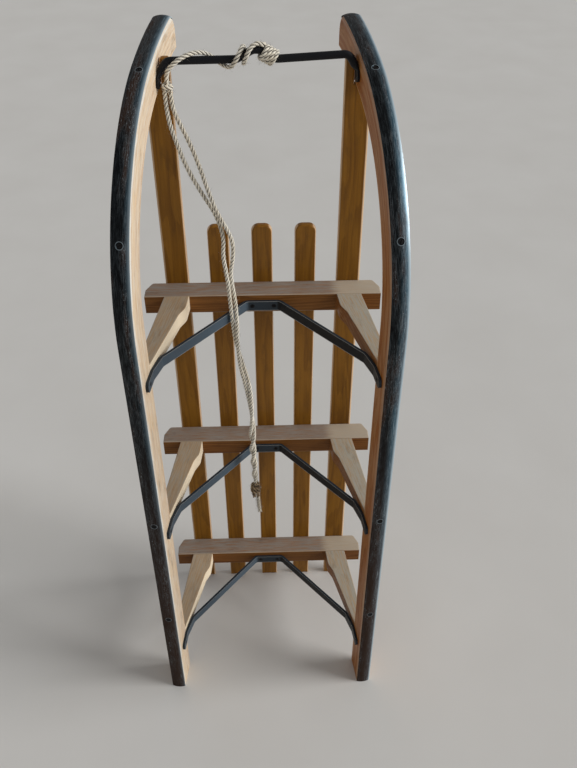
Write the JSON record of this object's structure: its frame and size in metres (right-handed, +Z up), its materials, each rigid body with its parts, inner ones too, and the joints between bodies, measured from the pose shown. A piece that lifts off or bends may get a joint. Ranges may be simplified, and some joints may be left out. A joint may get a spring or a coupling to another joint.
{
  "type": "davos sled",
  "caption": "Wooden davos sled stood on its tail, with curved steel-shod runners, braced trestles, a slatted seat and a tow bar that carries a looped rope.",
  "frame": {"origin": "on the floor, in the middle of the upright sled, measured without the rope", "axes": "+Z up from the tail to the horns, +Y from the soles to the seat, +X across the sled to the right as seen from the soles"},
  "size_m": [0.3594, 0.366, 1.065],
  "materials": {
    "runner_wood": "clear varnish, worn",
    "trestle_wood": "clear varnish, worn",
    "slat_wood": "clear varnish, worn",
    "shoe_steel": "dark, worn by snow and grit",
    "brace_iron": "black paint, chipped",
    "rope": "laid hemp, hairy"
  },
  "bodies": {
    "root": {"runner_left": "runner_wood", "runner_right": "runner_wood", "crossbar_1": "trestle_wood", "crossbar_2": "trestle_wood", "crossbar_3": "trestle_wood", "leg_1_left": "trestle_wood", "leg_1_right": "trestle_wood", "leg_2_left": "trestle_wood", "leg_2_right": "trestle_wood", "leg_3_left": "trestle_wood", "leg_3_right": "trestle_wood", "slat_left_outer": "slat_wood", "slat_left_inner": "slat_wood", "slat_middle": "slat_wood", "slat_right_inner": "slat_wood", "slat_right_outer": "slat_wood", "shoe_left": "shoe_steel", "shoe_right": "shoe_steel", "brace_1": "brace_iron", "brace_2": "brace_iron", "brace_3": "brace_iron", "tow_bar": "brace_iron", "rope_bar_run": "rope", "rope_strand_left": "rope", "rope_strand_right": "rope", "rope_tail": "rope", "rope_turns": "rope", "rope_hitch": "rope", "rope_end_knot": "rope"}
  },
  "joints": []
}
